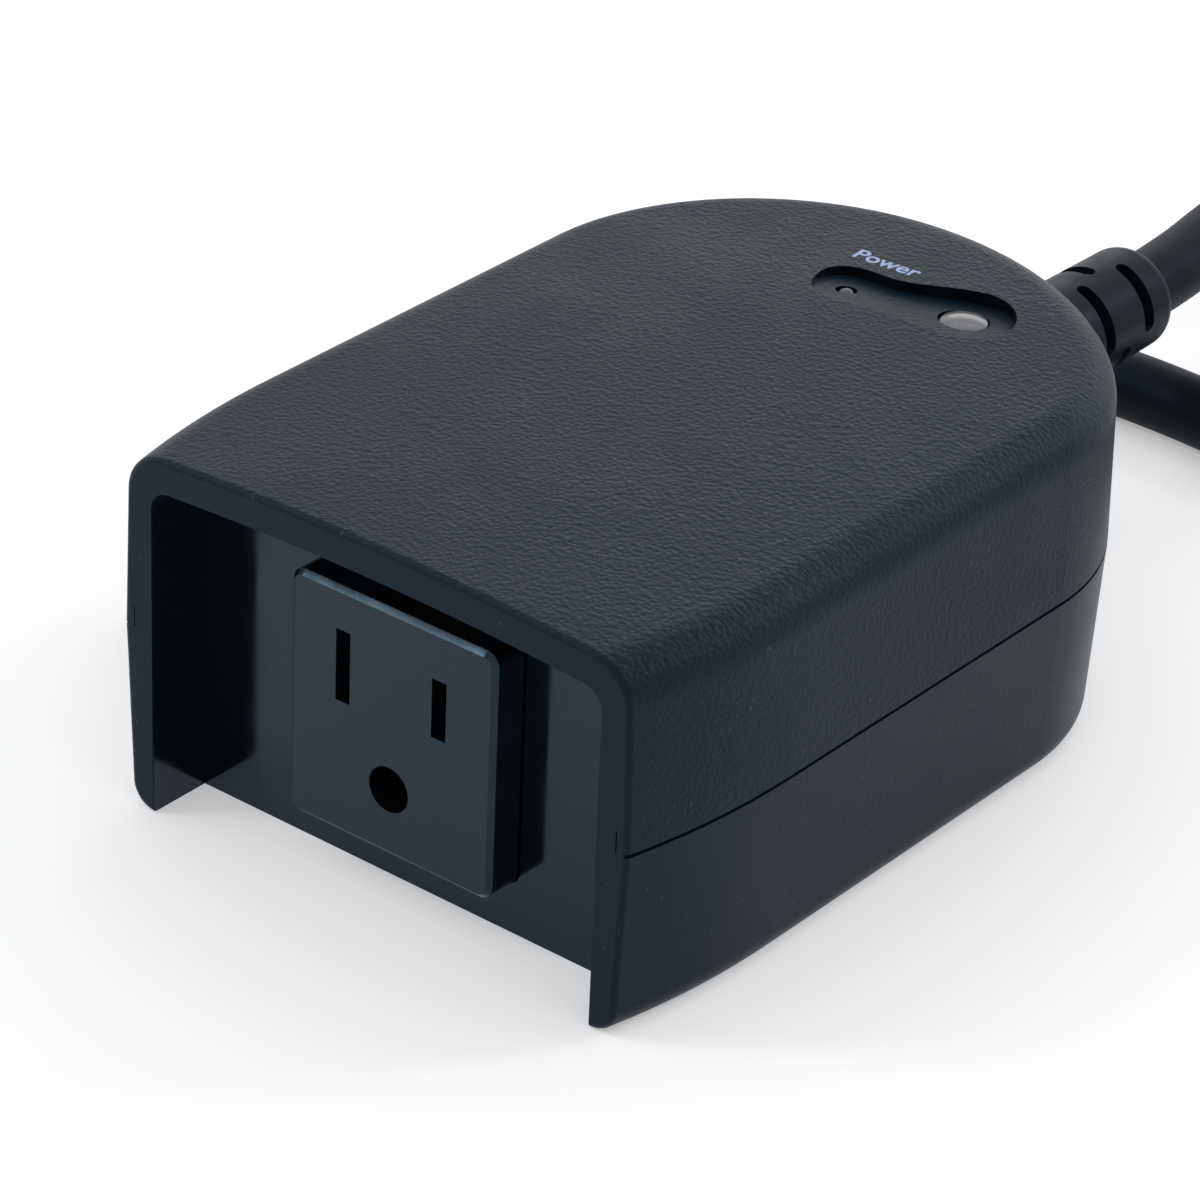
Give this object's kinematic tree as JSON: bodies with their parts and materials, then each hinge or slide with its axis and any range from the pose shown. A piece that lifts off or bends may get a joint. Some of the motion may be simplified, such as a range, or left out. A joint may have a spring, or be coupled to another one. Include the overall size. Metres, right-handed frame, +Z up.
{
  "type": "outdoor plug-in timer",
  "caption": "Weatherproof plug-in timer with a hooded grounded outlet, light sensor and lamp on top, setting dial underneath, and a short corded plug.",
  "frame": {"origin": "on the floor under the middle of the housing, cord and plug left out", "axes": "+Z up, -Y out of the outlet's hood, +Y towards the cord, X across the width"},
  "size_m": [0.1517, 0.2313, 0.0435],
  "materials": {
    "shell_grained": "fine leather grain, satin",
    "shell_satin": "fine spark-eroded satin",
    "seal_rubber": "soft matt",
    "screw_steel": "zinc plated",
    "outlet_gloss": "moulded gloss",
    "contact_brass": "stamped and tumbled",
    "lamp_clear": "clear resin",
    "lens_clear": "clear moulded",
    "component_dark": "moulded resin",
    "board_green": "solder mask",
    "component_blue": "moulded case",
    "component_yellow": "moulded case",
    "fuse_ceramic": "glazed",
    "dial_plastic": "satin moulded",
    "lead_black": "smooth insulation",
    "lead_white": "smooth insulation",
    "lead_green": "smooth insulation",
    "relief_rubber": "satin moulded",
    "cord_jacket": "smooth satin jacket",
    "plug_moulding": "satin moulding"
  },
  "bodies": {
    "housing": {"top_shell": "shell_grained", "bottom_shell": "shell_satin", "housing_seals": "seal_rubber", "housing_screws": "screw_steel", "outlet_block": "outlet_gloss", "outlet_cap": "outlet_gloss", "contact_line": "contact_brass", "contact_neutral": "contact_brass", "contact_ground": "contact_brass", "power_lamp": "lamp_clear", "sensor_lens": "lens_clear", "light_sensor": "component_dark", "sensor_board": "board_green", "board_screws": "screw_steel", "circuit_board": "board_green", "relay": "component_blue", "film_capacitor": "component_yellow", "smoothing_capacitor": "component_dark", "varistor": "component_blue", "control_chip": "component_dark", "fuse_holder": "fuse_ceramic", "rotary_switch": "component_dark", "dial_seal": "seal_rubber", "line_lead": "lead_black", "neutral_lead": "lead_white", "ground_lead": "lead_green", "switched_lead": "lead_black", "return_lead": "lead_white", "cord_strain_relief": "relief_rubber", "supply_cord": "cord_jacket", "plug_body": "plug_moulding", "plug_blade_line": "contact_brass", "plug_blade_neutral": "contact_brass", "plug_ground_pin": "contact_brass"},
    "dial": {"timer_dial": "dial_plastic", "dial_clip": "screw_steel"}
  },
  "joints": [
    {"name": "dial_turn", "type": "hinge", "parent": "housing", "child": "dial", "pos_m": [0, 0.0071, 0], "axis": [0, 0, 1], "range_deg": [0, 315]}
  ]
}
